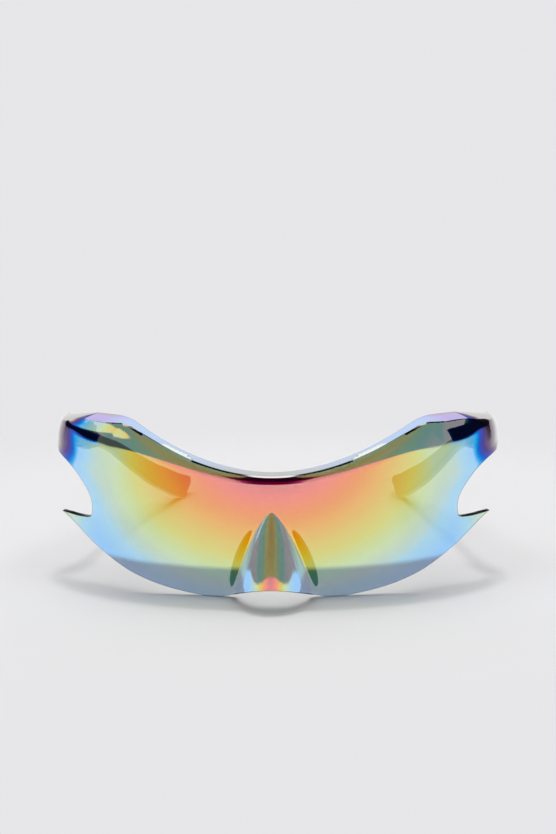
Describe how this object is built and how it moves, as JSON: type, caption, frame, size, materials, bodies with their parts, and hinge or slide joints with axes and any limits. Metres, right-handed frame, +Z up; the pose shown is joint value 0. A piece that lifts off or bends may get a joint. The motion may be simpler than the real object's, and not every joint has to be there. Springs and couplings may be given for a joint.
{
  "type": "shield sunglasses",
  "caption": "Wraparound one-piece mirrored shield sunglasses with a moulded beak over the nose, notched sides, dark nose pads and folding black temples.",
  "frame": {"origin": "on the table, in the middle of the overall outline seen from above", "axes": "+Z up, the shield faces -Y, the temples run back towards +Y, and +X is the wearer's left"},
  "size_m": [0.155, 0.1878, 0.0589],
  "materials": {
    "shield_mirror": "clear plastic with a thin mirror film, pink and orange head-on, turning yellow, green, blue and violet towards the sides",
    "black_nylon": "fine satin, moulded",
    "gloss_black_temple": "gloss, moulded",
    "dark_pad_rubber": "satin",
    "hinge_steel": "black oxide, tumbled",
    "screw_steel": "turned, darkened"
  },
  "bodies": {
    "front": {"shield_lens": "shield_mirror", "left_end_block": "black_nylon", "left_front_leaf": "hinge_steel", "left_front_leaf_screw_1": "screw_steel", "left_front_leaf_screw_2": "screw_steel", "left_hinge_screw": "screw_steel", "left_nose_pad": "dark_pad_rubber", "right_end_block": "black_nylon", "right_front_leaf": "hinge_steel", "right_front_leaf_screw_1": "screw_steel", "right_front_leaf_screw_2": "screw_steel", "right_hinge_screw": "screw_steel", "right_nose_pad": "dark_pad_rubber"},
    "left_temple": {"left_temple_arm": "gloss_black_temple", "left_temple_leaf": "hinge_steel", "left_temple_leaf_screw_1": "screw_steel", "left_temple_leaf_screw_2": "screw_steel"},
    "right_temple": {"right_temple_arm": "gloss_black_temple", "right_temple_leaf": "hinge_steel", "right_temple_leaf_screw_1": "screw_steel", "right_temple_leaf_screw_2": "screw_steel"}
  },
  "joints": [
    {"name": "left_temple_fold", "type": "hinge", "parent": "front", "child": "left_temple", "pos_m": [0.06763, -0.01995, 0.04663], "axis": [-0.0643, 0.268, 0.9613], "range_deg": [0, 85]},
    {"name": "right_temple_fold", "type": "hinge", "parent": "front", "child": "right_temple", "pos_m": [-0.06763, -0.01995, 0.04663], "axis": [-0.0643, -0.268, -0.9613], "range_deg": [0, 74]}
  ]
}
